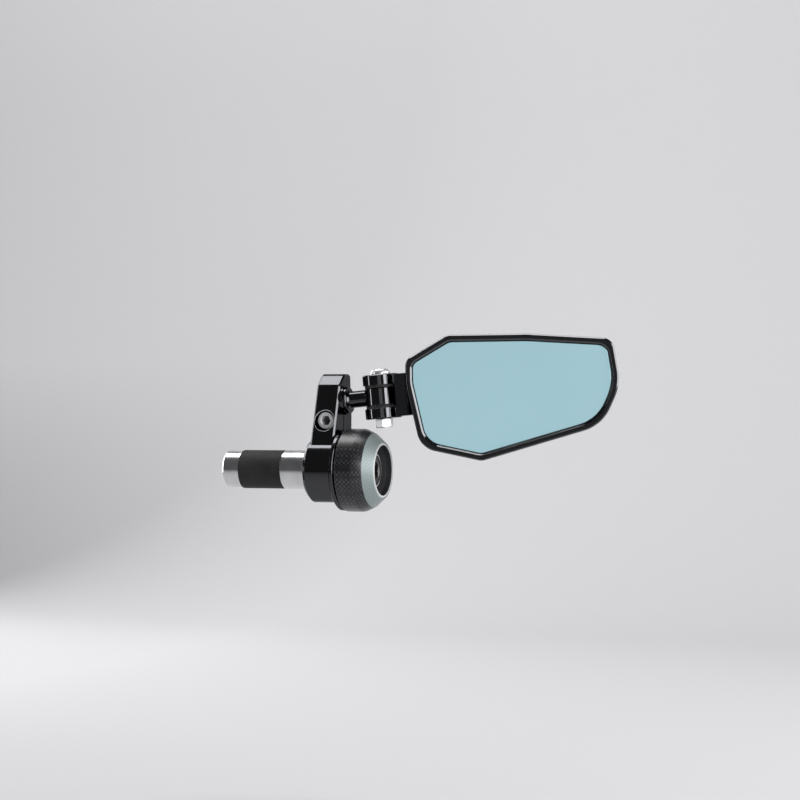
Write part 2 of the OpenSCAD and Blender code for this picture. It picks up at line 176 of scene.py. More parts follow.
# Edge rounding: a bevelled normal, and a mask that is 1 on an edge, where handling has polished it and where,
# on the mirror's lip, a painted highlight line goes
def makeEdgeGroup():
    group, tree, given, made = newGroup("softEdges", [("Radius", number, 0.0002), ("Sharpness", number, 6.0)],
                                        [("Normal", vectorKind), ("Edge", number)])
    bevel = tree.add("ShaderNodeBevel", samples=6)
    tree.put(bevel.inputs["Radius"], given.outputs["Radius"])
    plain = tree.add("ShaderNodeNewGeometry")
    dot = tree.add("ShaderNodeVectorMath", operation="DOT_PRODUCT")
    tree.put(dot.inputs[0], bevel.outputs["Normal"])
    tree.put(dot.inputs[1], plain.outputs["Normal"])
    away = tree.math("SUBTRACT", 1.0, dot.outputs["Value"])
    mask = tree.math("MINIMUM", tree.math("MULTIPLY", away, given.outputs["Sharpness"]), 1.0)
    tree.put(made.inputs["Normal"], bevel.outputs["Normal"])
    tree.put(made.inputs["Edge"], mask)
    return group


# Handling marks: slow patches and fine specks that change the gloss
smudge = {"patch": (0.35, 0.65), "speck": (0.62, 0.74), "finer": 24.0}


def makeSmudgeGroup():
    group, tree, given, made = newGroup("smudges", [("Vector", vectorKind, None), ("Size", number, 120.0)],
                                        [("Patch", number), ("Speck", number)])
    vector, size = given.outputs["Vector"], given.outputs["Size"]
    slow = tree.noise(vector, size, 3.0)
    quick = tree.noise(vector, tree.math("MULTIPLY", size, smudge["finer"]), 1.0)
    tree.put(made.inputs["Patch"], tree.ramp(slow, 0.0, 1.0, *smudge["patch"]))
    tree.put(made.inputs["Speck"], tree.ramp(quick, 0.0, 1.0, *smudge["speck"]))
    return group


# Turning marks: rings round an axis, from the distance to it and the place along it
def makeTurningGroup():
    group, tree, given, made = newGroup(
        "turningMarks", [("Vector", vectorKind, None), ("Pitch", number, 0.00012)], [("Height", number)])
    x, y, z = list(tree.axes(given.outputs["Vector"]))
    radius = tree.math("SQRT", tree.math("ADD", tree.math("POWER", x, 2.0), tree.math("POWER", y, 2.0)))
    turns = tree.math("DIVIDE", tree.math("ADD", radius, z), given.outputs["Pitch"])
    tree.put(made.inputs["Height"], tree.lineNoise(turns))
    return group


# Plain weave on a turned shape: tows round the axis and along the skin
weaving = {"skinFall": 0.8, "fibres": 9.0, "otherTows": 57.0}


def makeClothGroup():
    group, tree, given, made = newGroup(
        "clothWeave", [("Vector", vectorKind, None), ("Tow", number, 0.0012), ("Girth", number, 0.0184)],
        [("Warp", number), ("Height", number), ("Fibre", number), ("Tone", number)])
    girth, tow = given.outputs["Girth"], given.outputs["Tow"]
    x, y, z = list(tree.axes(given.outputs["Vector"]))
    radius = tree.math("SQRT", tree.math("ADD", tree.math("POWER", y, 2.0), tree.math("POWER", z, 2.0)))
    angle = tree.math("ARCTAN2", z, y)
    skin = tree.math("SUBTRACT", x, tree.math("MULTIPLY", radius, weaving["skinFall"]))
    u = tree.math("DIVIDE", tree.math("MULTIPLY", angle, girth), tow)
    v = tree.math("DIVIDE", skin, tow)
    towU, towV = tree.math("FLOOR", u), tree.math("FLOOR", v)
    warp = tree.math("LESS_THAN", tree.math("FLOORED_MODULO", tree.math("ADD", towU, towV), 2.0), 1.0)

    def crown(place):  # 1 in the middle of a tow, 0 at its sides
        offset = tree.math("SUBTRACT", tree.math("FRACT", place), 0.5)
        return tree.math("SUBTRACT", 1.0, tree.math("MULTIPLY", tree.math("POWER", offset, 2.0), 4.0))

    warpCrown, weftCrown = crown(u), crown(v)
    fibre = tree.choose(warp, tree.math("MULTIPLY", v, weaving["fibres"]),
                        tree.math("MULTIPLY", u, weaving["fibres"]))
    tone = tree.add("ShaderNodeTexWhiteNoise", noise_dimensions="1D")
    tree.put(tone.inputs["W"], tree.choose(warp, towV, tree.math("ADD", towU, weaving["otherTows"])))
    tree.put(made.inputs["Warp"], warp)
    tree.put(made.inputs["Height"], tree.choose(warp, weftCrown, warpCrown))
    tree.put(made.inputs["Fibre"], tree.lineNoise(fibre))
    tree.put(made.inputs["Tone"], tone.outputs["Value"])
    return group


edgeGroup = makeEdgeGroup()
smudgeGroup = makeSmudgeGroup()
turningGroup = makeTurningGroup()
clothGroup = makeClothGroup()


def newMaterial(name):
    material = bpy.data.materials.new(name)
    material.use_nodes = True
    material.node_tree.nodes.clear()
    tree = Tree(material.node_tree)
    shader = tree.add("ShaderNodeBsdfPrincipled")
    output = tree.add("ShaderNodeOutputMaterial")
    tree.put(output.inputs["Surface"], shader.outputs["BSDF"])
    return material, tree, shader


# Gloss black anodised aluminium, brighter where edges have rubbed and dark when seen along its side. On the
# bracket outboard of its ears it is made darker, a painted shade
blackAnodised = {"colour": (0.068, 0.069, 0.073, 1), "rubbed": (0.18, 0.185, 0.195, 1),
                 "side": (0.55, 0.55, 0.56, 1), "rough": (0.06, 0.13), "speck": 0.05, "edge": 0.18 * mm,
                 "sharp": 5.0, "smudge": 90.0, "leastWear": 0.35, "pores": 9000.0, "bump": 0.05,
                 "depth": 0.01 * mm}
lipBlack = {**blackAnodised, "colour": (0.019, 0.0195, 0.021, 1), "rubbed": (0.22, 0.225, 0.235, 1),
            "rough": (0.08, 0.16), "edge": 0.3 * mm}  # the mirror's housing; its paler edges are partly wear and partly a painted highlight line
chamferHighlight = {**lipBlack, "colour": (0.095, 0.097, 0.1, 1),
             "rubbed": (0.3, 0.305, 0.315, 1)}  # the slanted breaks of its lip, paler than the lip as a painted highlight
bracketShade = {"colour": (0.013, 0.0135, 0.015, 1), "start": 38.5 * mm,
              "blend": 1.0 * mm}  # painted shade on the bracket outboard of its ears, where it runs behind the mirror


def makeBlackAnodised(name, look, shadeArea=None):
    material, tree, shader = newMaterial(name)
    vector = tree.objectPlace()
    edges = tree.use(edgeGroup, Radius=look["edge"], Sharpness=look["sharp"])
    marks = tree.use(smudgeGroup, Vector=vector, Size=look["smudge"])
    wear = tree.ramp(marks.outputs["Patch"], look["leastWear"], 1.0)
    ground = look["colour"]
    # Painted shade: the bracket outboard of its ears, behind the mirror, is given a darker black
    if shadeArea:
        outboard = tree.axes(vector)["X"]
        shadeMask = tree.ramp(outboard, 0.0, 1.0, shadeArea["start"], shadeArea["start"] + shadeArea["blend"])
        ground = tree.mix(shadeMask, look["colour"], shadeArea["colour"])
    worn = tree.math("MULTIPLY", edges.outputs["Edge"], wear)
    tree.put(shader.inputs["Base Color"], tree.mix(worn, ground, look["rubbed"]))
    gloss = tree.ramp(marks.outputs["Patch"], *look["rough"])
    specks = tree.math("MULTIPLY", marks.outputs["Speck"], look["speck"])
    tree.put(shader.inputs["Roughness"], tree.math("ADD", gloss, specks))
    pores = tree.noise(vector, look["pores"])
    tree.put(shader.inputs["Normal"], tree.bump(pores, look["bump"], look["depth"],
                                                edges.outputs["Normal"]))
    shader.inputs["Metallic"].default_value = 1.0
    shader.inputs["Specular Tint"].default_value = look["side"]
    return material


# Black cup of the cap's core, paler near its floor, with a painted highlight on its rim
cup = {"wall": (0.016, 0.016, 0.018, 1), "deep": (0.05, 0.05, 0.053, 1), "rim": (0.42, 0.44, 0.43, 1),
       "step": 31.7 * mm, "rimFrom": 34.0 * mm, "blend": 0.1 * mm, "rimMetal": 0.3, "rough": (0.34, 0.46),
       "edge": 0.2 * mm, "sharp": 4.0, "pitch": 0.25 * mm, "bump": 0.3}


def makeCup(name):
    look = cup
    material, tree, shader = newMaterial(name)
    outboard = tree.axes(tree.objectPlace())["X"]
    edges = tree.use(edgeGroup, Radius=look["edge"], Sharpness=look["sharp"])
    rings = tree.use(turningGroup, Vector=tree.objectPlace(barTurn), Pitch=look["pitch"])
    deep = tree.ramp(outboard, 1.0, 0.0, look["step"] - look["blend"], look["step"] + look["blend"])
    rim = tree.ramp(outboard, 0.0, 1.0, look["rimFrom"], look["rimFrom"] + look["blend"])
    wall = tree.mix(deep, look["wall"], look["deep"])
    # Painted highlight: past rimFrom the rim is paler and partly metallic
    tree.put(shader.inputs["Base Color"], tree.mix(rim, wall, look["rim"]))
    tree.put(shader.inputs["Metallic"], tree.ramp(rim, 0.0, look["rimMetal"]))
    tree.put(shader.inputs["Roughness"], tree.ramp(rings.outputs["Height"], *look["rough"]))
    tree.put(shader.inputs["Normal"], tree.bump(rings.outputs["Height"], look["bump"], turnedDepth,
                                                edges.outputs["Normal"]))
    return material


# Stainless steel, turned and polished
stainless = {"colour": (0.74, 0.74, 0.75, 1), "shade": (0.62, 0.62, 0.63, 1), "rough": (0.14, 0.26),
             "edge": 0.1 * mm, "sharp": 4.0, "pitch": 0.09 * mm, "smudge": 160.0, "bump": 0.25}


def makeStainless(name, turn=barTurn, centre=(0, 0, 0), rough=stainless["rough"], metal=1.0):
    look = stainless
    material, tree, shader = newMaterial(name)
    vector = tree.objectPlace(turn, centre)
    edges = tree.use(edgeGroup, Radius=look["edge"], Sharpness=look["sharp"])
    marks = tree.use(smudgeGroup, Vector=vector, Size=look["smudge"])
    rings = tree.use(turningGroup, Vector=vector, Pitch=look["pitch"])
    tree.put(shader.inputs["Base Color"], tree.mix(marks.outputs["Patch"], look["shade"], look["colour"]))
    tree.put(shader.inputs["Roughness"], tree.ramp(rings.outputs["Height"], *rough))
    tree.put(shader.inputs["Normal"], tree.bump(rings.outputs["Height"], look["bump"], turnedDepth,
                                                edges.outputs["Normal"]))
    shader.inputs["Metallic"].default_value = metal
    return material


# Black oxide screw with its rim rubbed bright
blackScrew = {"colour": (0.012, 0.012, 0.013, 1), "rubbed": (0.45, 0.45, 0.46, 1), "rough": (0.22, 0.34),
              "edge": 0.35 * mm, "sharp": 7.0, "pitch": 0.1 * mm, "bump": 0.2}


def makeBlackScrew(name):
    look = blackScrew
    material, tree, shader = newMaterial(name)
    edges = tree.use(edgeGroup, Radius=look["edge"], Sharpness=look["sharp"])
    rings = tree.use(turningGroup, Vector=tree.objectPlace(barTurn), Pitch=look["pitch"])
    tree.put(shader.inputs["Base Color"], tree.mix(edges.outputs["Edge"], look["colour"], look["rubbed"]))
    tree.put(shader.inputs["Metallic"], edges.outputs["Edge"])
    tree.put(shader.inputs["Roughness"], tree.ramp(rings.outputs["Height"], *look["rough"]))
    tree.put(shader.inputs["Normal"], tree.bump(rings.outputs["Height"], look["bump"], turnedDepth,
                                                edges.outputs["Normal"]))
    return material


# Carbon cloth under a satin lacquer; past the crease its front bevel has thinner lacquer, more roughness and
# a paler colour that is a painted sheen
carbon = {"warp": (0.033, 0.034, 0.037, 1), "weft": (0.009, 0.009, 0.010, 1), "cut": (0.205, 0.24, 0.24, 1),
          "tow": 1.05 * mm, "girth": 18.4 * mm, "crease": 30.1 * mm, "blend": 0.05 * mm,
          "tone": (0.45, 1.55), "strands": (0.82, 1.2), "strandRange": (0.3, 0.7),
          "cutWarp": (0.87, 1.06), "cutStrands": (0.9, 1.1), "rough": (0.46, 0.38), "cutRough": 0.08,
          "metal": 0.4, "index": 1.25, "coat": (0.6, 0.75), "coatRough": 0.27, "coatIndex": 1.5,
          "coatLost": 0.6, "edge": 0.25 * mm, "sharp": 3.0, "smudge": 110.0, "bump": 0.25,
          "depth": 0.04 * mm}


def makeCarbon(name):
    look = carbon
    material, tree, shader = newMaterial(name)
    vector = tree.objectPlace()
    weave = tree.use(clothGroup, Vector=vector, Tow=look["tow"], Girth=look["girth"])
    edges = tree.use(edgeGroup, Radius=look["edge"], Sharpness=look["sharp"])
    marks = tree.use(smudgeGroup, Vector=vector, Size=look["smudge"])
    warp, fibre = weave.outputs["Warp"], weave.outputs["Fibre"]
    cutFace = tree.ramp(tree.axes(vector)["X"], 0.0, 1.0, look["crease"] - look["blend"],
                        look["crease"] + look["blend"])
    strands = tree.ramp(fibre, *look["strands"], *look["strandRange"])
    tone = tree.math("MULTIPLY", tree.ramp(weave.outputs["Tone"], *look["tone"]), strands)
    cloth = tree.tint(tree.mix(warp, look["weft"], look["warp"]), tone)
    cutStrands = tree.ramp(fibre, *look["cutStrands"], *look["strandRange"])
    cutTone = tree.math("MULTIPLY", tree.ramp(warp, *look["cutWarp"]), cutStrands)
    # Painted sheen: the bevel past the crease gets the paler colour in place of the dark cloth
    tree.put(shader.inputs["Base Color"], tree.mix(cutFace, cloth, tree.tint(look["cut"], cutTone)))
    tree.put(shader.inputs["Roughness"], tree.math("ADD", tree.ramp(warp, *look["rough"]),
                                                   tree.math("MULTIPLY", cutFace, look["cutRough"])))
    lacquer = tree.math("SUBTRACT", 1.0, tree.math("MULTIPLY", cutFace, look["coatLost"]))
    coat = tree.ramp(marks.outputs["Patch"], *look["coat"])
    tree.put(shader.inputs["Coat Weight"], tree.math("MULTIPLY", lacquer, coat))
    shader.inputs["Coat Roughness"].default_value = look["coatRough"]
    shader.inputs["Coat IOR"].default_value = look["coatIndex"]
    shader.inputs["IOR"].default_value = look["index"]
    shader.inputs["Metallic"].default_value = look["metal"]
    tree.put(shader.inputs["Normal"], tree.bump(weave.outputs["Height"], look["bump"], look["depth"],
                                                edges.outputs["Normal"]))
    return material


# Matt rubber and nylon, with what both share in matt
rubber = {"colour": (0.012, 0.012, 0.012), "rough": 0.6, "grain": 2500.0, "depth": 0.03 * mm}
nylon = {"colour": (0.02, 0.02, 0.021), "rough": 0.42, "grain": 1800.0, "depth": 0.02 * mm}
matt = {"smudge": 140.0, "paler": 1.8, "rougher": 0.12, "index": 1.35, "bump": 0.3}


def makeMatt(name, look):
    material, tree, shader = newMaterial(name)
    vector = tree.objectPlace()
    marks = tree.use(smudgeGroup, Vector=vector, Size=matt["smudge"])
    plain = (*look["colour"], 1)
    pale = (*(part * matt["paler"] for part in look["colour"]), 1)
    tree.put(shader.inputs["Base Color"], tree.mix(marks.outputs["Patch"], plain, pale))
    tree.put(shader.inputs["Roughness"], tree.ramp(marks.outputs["Patch"], look["rough"],
                                                   look["rough"] + matt["rougher"]))
    shader.inputs["IOR"].default_value = matt["index"]
    grain = tree.noise(vector, look["grain"])
    tree.put(shader.inputs["Normal"], tree.bump(grain, matt["bump"], look["depth"]))
    return material


# Pale blue anti-glare mirror
blueGlass = {"colour": (0.39, 0.62, 0.69, 1), "deep": (0.375, 0.605, 0.675, 1), "rough": (0.03, 0.06),
             "metal": 0.8, "coat": 0.6, "coatRough": 0.02, "smudge": 26.0, "ripple": 30.0, "bump": 0.05,
             "depth": 0.02 * mm}


def makeBlueGlass(name):
    look = blueGlass
    material, tree, shader = newMaterial(name)
    vector = tree.objectPlace()
    marks = tree.use(smudgeGroup, Vector=vector, Size=look["smudge"])
    tree.put(shader.inputs["Base Color"], tree.mix(marks.outputs["Patch"], look["deep"], look["colour"]))
    tree.put(shader.inputs["Roughness"], tree.ramp(marks.outputs["Patch"], *look["rough"]))
    ripple = tree.noise(vector, look["ripple"], 1.0)
    tree.put(shader.inputs["Normal"], tree.bump(ripple, look["bump"], look["depth"]))
    shader.inputs["Metallic"].default_value = look["metal"]
    shader.inputs["Coat Roughness"].default_value = look["coatRough"]
    shader.inputs["Coat Weight"].default_value = look["coat"]
    return material


# The turn that lays a pattern's Z along an axis
def turnTo(axis):
    return axis.to_track_quat("Z", "Y").to_euler()


satin = (0.3, 0.42)  # roughness of the brushed heads
materials = {
    "anodised": makeBlackAnodised("blackAnodised", blackAnodised),
    "bracketShadedBlack": makeBlackAnodised("bracketShadedBlack", blackAnodised, bracketShade),
    "lipBlack": makeBlackAnodised("lipBlack", lipBlack),
    "lipChamferHighlight": makeBlackAnodised("lipChamferHighlight", chamferHighlight),
    "screw": makeBlackScrew("blackScrew"),
    "cup": makeCup("cupBlack"),
    "barSteel": makeStainless("stainlessBar"),
    "pivotSteel": makeStainless("stainlessPivot", turnTo(pivotAxis), pivotCentre, satin, 0.75),
    "seatSteel": makeStainless("stainlessSeat", turnTo(knuckleAxis), knuckleSeat),
    "pinchSteel": makeStainless("stainlessPinch", pinchTurn, pinchCentre, satin, 0.45),
    "boreHighlight": makeStainless("boreHighlight", pinchTurn, pinchCentre, (0.3, 0.45), 0.3),
    "rimHighlight": makeStainless("rimHighlight", rough=(0.38, 0.5), metal=0.45),
    "carbon": makeCarbon("carbonCloth"),
    "rubber": makeMatt("rubberMatt", rubber),
    "nylon": makeMatt("nylonMatt", nylon),
    "glass": makeBlueGlass("blueGlass"),
}

# The finish of each node of the model
finishes = {
    "bar_adaptor": "barSteel", "expander_sleeve": "rubber", "wedge_nut": "barSteel",
    "centre_bolt": "screw", "cap_washer": "barSteel", "end_disc": "anodised", "cap_core": "cup",
    "end_cap": "carbon", "clamp_arm": "anodised", "pinch_screw": "pinchSteel",
    "knuckle": "anodised", "knuckle_screw": "seatSteel", "spring_washer": "seatSteel",
    "clevis_bracket": "bracketShadedBlack", "pivot_bolt": "pivotSteel", "pivot_nut": "pivotSteel",
    "upper_friction_washer": "nylon", "lower_friction_washer": "nylon", "mirror_housing": "lipBlack",
    "glass_pad": "rubber", "mirror_glass": "glass", "housing_screws": "pivotSteel",
}
for nodeName, finish in finishes.items():
    mesh = nodes[nodeName].data
    mesh.materials.clear()
    mesh.materials.append(materials[finish])
print("materials made:", len(materials))

# Frames of the tilted pieces, from the joints
tiltAngle = math.atan2(knuckleAxis.z, knuckleAxis.x)
mirrorYaw = math.radians(15)  # of the glass towards the rider
barFrame = Matrix.Rotation(math.radians(90), 4, "Y")  # local Z runs outboard along the bar
headFrame = (Matrix.Translation(pivotCentre) @ Matrix.Rotation(-tiltAngle, 4, "Y")
             @ Matrix.Rotation(mirrorYaw, 4, "Z"))
glassFrame = headFrame @ Matrix.Rotation(math.radians(90), 4, "X")  # local Z faces the rider


# Loops of points, in mm, for pushLoops: a circle
def circleLoop(radius, height, count=48):
    angles = [2 * math.pi * i / count for i in range(count)]
    return [(radius * math.cos(angle), radius * math.sin(angle), height) for angle in angles]


# A hexagon of the same count of points, lower by fall for each mm that a corner lies beyond reach
def hexLoop(flats, height, count=48, fall=0.0, reach=0.0):
    loop = []
    for i in range(count):
        angle = 2 * math.pi * i / count
        radius = flats / 2 / math.cos((angle % (math.pi / 3)) - math.pi / 6)
        drop = fall * max(radius - reach, 0.0)
        loop.append((radius * math.cos(angle), radius * math.sin(angle), height - drop))
    return loop


# An outline with rounded corners, moved inwards by inset; extra makes its corners rounder
def cornerLoop(corners, height, inset=0.0, extra=0.0, steps=12):
    loop = []
    count = len(corners)
    for i, (x, y, radius) in enumerate(corners):
        here = Vector((x, y))
        toPrevious = (Vector(corners[i - 1][:2]) - here).normalized()
        toNext = (Vector(corners[(i + 1) % count][:2]) - here).normalized()
        half = math.acos(toPrevious.dot(toNext)) / 2
        middle = (toPrevious + toNext).normalized()
        size = max(radius + extra - inset, 0.1)
        centre = here + middle * (inset + size) / math.sin(half)
        first = centre - here - middle * inset / math.sin(half)
        start = toPrevious * size / math.tan(half) - first
        side = 1 if toPrevious.y * toNext.x - toPrevious.x * toNext.y > 0 else -1
        begin = math.atan2(start.y, start.x)
        sweep = side * (math.pi - 2 * half)
        for j in range(steps + 1):
            angle = begin + sweep * j / steps
            loop.append((centre.x + size * math.cos(angle), centre.y + size * math.sin(angle), height))
    return loop


# A closed shape: a disc's rim is pushed out again and again, each time onto the next loop
def pushLoops(name, loops, place):
    bpy.ops.object.select_all(action="DESELECT")
    bpy.ops.mesh.primitive_circle_add(vertices=len(loops[0]), radius=0.01, fill_type="NGON")
    piece = bpy.context.object
    piece.name = name
    piece.data.name = name
    for vertex, point in zip(piece.data.vertices, loops[0]):
        vertex.co = place @ (Vector(point) * mm)
    order = {tuple(vertex.co): vertex.index for vertex in piece.data.vertices}
    bpy.ops.object.mode_set(mode="EDIT")
    bpy.ops.mesh.select_mode(type="FACE")
    bpy.ops.mesh.select_all(action="SELECT")
    for loop in loops[1:]:
        bpy.ops.mesh.extrude_region_move(TRANSFORM_OT_translate={"value": (0, 0, 0)})
        bpy.ops.object.mode_set(mode="OBJECT")
        found = {}
        for vertex in piece.data.vertices:
            if vertex.select:
                spot = order[tuple(vertex.co)]
                vertex.co = place @ (Vector(loop[spot]) * mm)
                found[tuple(vertex.co)] = spot
        order = found
        bpy.ops.object.mode_set(mode="EDIT")
    bpy.ops.object.mode_set(mode="OBJECT")
    return piece


# A ring: a closed profile of place along the bar and radius, spun round the bar's axis
def spinRing(name, profile, steps):
    bpy.ops.object.select_all(action="DESELECT")
    bpy.ops.mesh.primitive_circle_add(vertices=len(profile), radius=0.01)
    piece = bpy.context.object
    piece.name = name
    piece.data.name = name
    for vertex, (along, radius) in zip(piece.data.vertices, profile):
        vertex.co = Vector((along, 0, radius)) * mm
    bpy.ops.object.mode_set(mode="EDIT")
    bpy.ops.mesh.select_all(action="SELECT")
    bpy.ops.mesh.spin(steps=steps, angle=2 * math.pi, center=(0, 0, 0), axis=(1, 0, 0))
    bpy.ops.mesh.select_all(action="SELECT")
    bpy.ops.mesh.remove_doubles(threshold=0.001 * mm)
    bpy.ops.object.mode_set(mode="OBJECT")
    return piece


# Turns pushed loops that end where they began into a ring, by taking the two end faces away
def openRing(piece):
    bpy.ops.object.mode_set(mode="EDIT")
    bpy.ops.mesh.select_mode(type="FACE")
    bpy.ops.mesh.select_all(action="DESELECT")
    bpy.ops.object.mode_set(mode="OBJECT")
    for face in piece.data.polygons:
        face.select = len(face.vertices) > 4
    bpy.ops.object.mode_set(mode="EDIT")
    bpy.ops.mesh.delete(type="ONLY_FACE")
    bpy.ops.mesh.select_all(action="SELECT")
    bpy.ops.mesh.remove_doubles(threshold=0.001 * mm)
    bpy.ops.object.mode_set(mode="OBJECT")


# Finishing: outward normals, soft edges, smooth shading that keeps flats flat
def finishPiece(piece, material, bevel, segments=2, angle=22):
    bpy.ops.object.select_all(action="DESELECT")
    piece.select_set(True)
    bpy.context.view_layer.objects.active = piece
    bpy.ops.object.mode_set(mode="EDIT")
    bpy.ops.mesh.select_all(action="SELECT")
    bpy.ops.mesh.normals_make_consistent(inside=False)
    bpy.ops.object.mode_set(mode="OBJECT")
    bpy.ops.object.transform_apply(location=True, rotation=True, scale=True)
    if bevel:
        soft = piece.modifiers.new("softEdges", "BEVEL")
        soft.width = bevel * mm
        soft.segments = segments
        soft.limit_method = "ANGLE"
        soft.angle_limit = math.radians(angle)
        bpy.ops.object.modifier_apply(modifier="softEdges")
    bpy.ops.object.shade_smooth()
    level = piece.modifiers.new("flatFaces", "WEIGHTED_NORMAL")
    level.weight = 60
    bpy.ops.object.modifier_apply(modifier="flatFaces")
    piece.data.materials.append(material)
    return piece


# Carbon end cap: a band, a long rounded bevel and an open mouth round the core's rim
endCap = {"start": 17.9, "end": 34.4, "radius": 18.4, "bevel": 9.0, "curve": 1.3, "crease": (30.1, 16.4),
          "mouth": 12.35, "lip": 0.35, "lipTop": 0.2, "lipSoft": 0.12, "bulge": 0.06, "wall": 2.0,
          "innerGap": 0.05, "softEdge": 0.5, "steps": 160}


def makeEndCap():
    c = endCap
    tip = c["end"] - c["lipTop"]
    turn = c["end"] - c["bevel"]
    creaseX, creaseR = c["crease"]
    inside = c["radius"] - c["wall"] + c["innerGap"]
    profile = [(c["start"], c["radius"] - c["softEdge"])]
    for i in range(1, 6):
        angle = math.pi / 2 * i / 5
        profile.append((c["start"] + c["softEdge"] * (1 - math.cos(angle)),
                        c["radius"] - c["softEdge"] * (1 - math.sin(angle))))
    for i in range(15):
        t = i / 14
        fall = (c["radius"] - creaseR) * t ** c["curve"]
        profile.append((turn + (creaseX - turn) * t, c["radius"] - fall))
    for i in range(1, 11):
        t = i / 10
        fall = (creaseR - c["mouth"] - c["lip"]) * ((1 - c["bulge"]) * t + c["bulge"] * t * t)
        profile.append((creaseX + (tip - creaseX) * t, creaseR - fall))
    profile += [(tip + c["lipSoft"], c["mouth"] + c["lipSoft"]), (tip + 0.05, c["mouth"]),
                (c["end"] - c["wall"], c["mouth"]), (turn - c["wall"], inside), (c["start"], inside)]
    piece = spinRing("carbonCap", profile, c["steps"])
    finishPiece(piece, materials["carbon"], 0)
    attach(piece, "fitting")
    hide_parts("end_cap")


# Mirror housing: a machined dish, sloped behind, with a chamfered lip round the glass.
# Each corner of the outline has its place and its radius.
mirrorOutline = [(32.1, 23.8, 7), (66.7, 21.1, 60), (103.7, 15.6, 5.5), (105.3, -4.7, 22), (95.8, -21.6, 18),
                 (42.3, -32.4, 6), (16.2, -24.4, 10), (12.1, 4.3, 20), (12.9, 14.5, 4.5)]
housing = {"back": 8.6, "depth": 7.9, "slope": 3.2, "lip": 2.9, "outerBreak": 0.6, "innerBreak": 0.8,
           "pocket": 4.2, "cornerExtra": 2.5, "softEdge": 0.12, "slant": (0.5, 0.9)}


def makeHousing():
    h = housing
    o = mirrorOutline
    top = h["back"] + h["depth"]
    loops = [cornerLoop(o, h["back"], h["slope"]),
             cornerLoop(o, h["back"] + h["slope"]),
             cornerLoop(o, top - h["outerBreak"]),
             cornerLoop(o, top, h["outerBreak"]),
             cornerLoop(o, top, h["lip"] - h["innerBreak"], h["cornerExtra"]),
             cornerLoop(o, top - h["innerBreak"], h["lip"], h["cornerExtra"]),
             cornerLoop(o, top - h["pocket"], h["lip"], h["cornerExtra"])]
    piece = pushLoops("mirrorHousing", loops, glassFrame)
    finishPiece(piece, materials["lipBlack"], h["softEdge"], 3, 18)
    # Painted highlight: the slanted chamfers of the lip get the paler copy of its black
    piece.data.materials.append(materials["lipChamferHighlight"])
    front = (glassFrame.to_3x3() @ Vector((0, 0, 1))).normalized()
    for face in piece.data.polygons:
        if h["slant"][0] < face.normal.dot(front) < h["slant"][1]:
            face.material_index = 1
    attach(piece, "head")
    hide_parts("mirror_housing")


# Mirror glass with a fine ground edge
glass = {"bottom": 13.1, "top": 15.3, "inset": 3.05, "cornerExtra": 2.5, "ground": 0.25, "softEdge": 0.06}


def makeGlass():
    g = glass
    o = mirrorOutline
    loops = [cornerLoop(o, g["bottom"], g["inset"], g["cornerExtra"]),
             cornerLoop(o, g["top"] - g["ground"], g["inset"], g["cornerExtra"]),
             cornerLoop(o, g["top"], g["inset"] + g["ground"], g["cornerExtra"])]
    piece = pushLoops("mirrorGlass", loops, glassFrame)
    finishPiece(piece, materials["glass"], g["softEdge"], 2, 18)
    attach(piece, "head")
    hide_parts("mirror_glass")


# Pivot bolt: a button head with a hexagon socket on a plain shank
pivotBolt = {"shank": 4.0, "tip": -13.8, "tipBreak": 0.4, "seat": 9.8, "head": 8.6, "height": 2.75,
             "side": 0.5, "dome": 2.2, "key": 3.0, "keyEntry": 1.3, "socket": 1.8, "drillPoint": 0.25,
             "softEdge": 0.08}


def makePivotBolt():
    b = pivotBolt
    shank, head = b["shank"] / 2, b["head"] / 2
    top = b["seat"] + b["height"]
    bottom = top - b["socket"]
    loops = [circleLoop(shank - b["tipBreak"], b["tip"]), circleLoop(shank, b["tip"] + b["tipBreak"]),
             circleLoop(shank, b["seat"]), circleLoop(head, b["seat"]),
             circleLoop(head, b["seat"] + b["side"])]
    for i in range(1, 10):
        angle = math.pi / 2 * i / 9
        loops.append(circleLoop(head - b["dome"] * (1 - math.cos(angle)),
                                b["seat"] + b["side"] + (b["height"] - b["side"]) * math.sin(angle)))
    loops += [circleLoop(b["key"] / 2 * b["keyEntry"], top), hexLoop(b["key"], top - 0.15),
              hexLoop(b["key"], bottom), circleLoop(b["key"] * 0.2, bottom - b["drillPoint"])]
    piece = pushLoops("pivotBolt", loops, headFrame)
    finishPiece(piece, materials["pivotSteel"], b["softEdge"])
    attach(piece, "head")
    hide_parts("pivot_bolt")


# Pivot nut, its outer corners turned down to a chamfer
pivotNut = {"flats": 7.0, "top": -9.8, "height": 4.0, "bore": 4.1, "boreBreak": 0.35, "chamfer": 0.5,
            "lowChamfer": 0.8, "face": 0.15, "turn": 20, "softEdge": 0.06}


def makePivotNut():
    n = pivotNut
    low = n["top"] - n["height"]
    bore, face = n["bore"] / 2, n["flats"] / 2 - n["face"]
    place = headFrame @ Matrix.Rotation(math.radians(n["turn"]), 4, "Z")
    loops = [circleLoop(bore, n["top"]), circleLoop(face, n["top"]),
             hexLoop(n["flats"], n["top"], fall=n["chamfer"], reach=face),
             hexLoop(n["flats"], low, fall=-n["lowChamfer"], reach=face),
             circleLoop(face, low), circleLoop(bore + n["boreBreak"], low),
             circleLoop(bore, low + n["boreBreak"]), circleLoop(bore, n["top"])]
    piece = pushLoops("pivotNut", loops, place)
    openRing(piece)
    finishPiece(piece, materials["pivotSteel"], n["softEdge"])
    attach(piece, "head")
    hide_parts("pivot_nut")


# Pinch screw: a socket cap screw sunk in the arm
pinchScrew = {"seat": 0.9, "head": 8.5, "height": 5.0, "shank": 5.0, "length": 12.0, "tipBreak": 0.5,
              "key": 4.0, "keyEntry": 1.22, "socket": 2.5, "drillPoint": 0.5, "shadedRim": 0.75,
              "softEdge": 0.06}


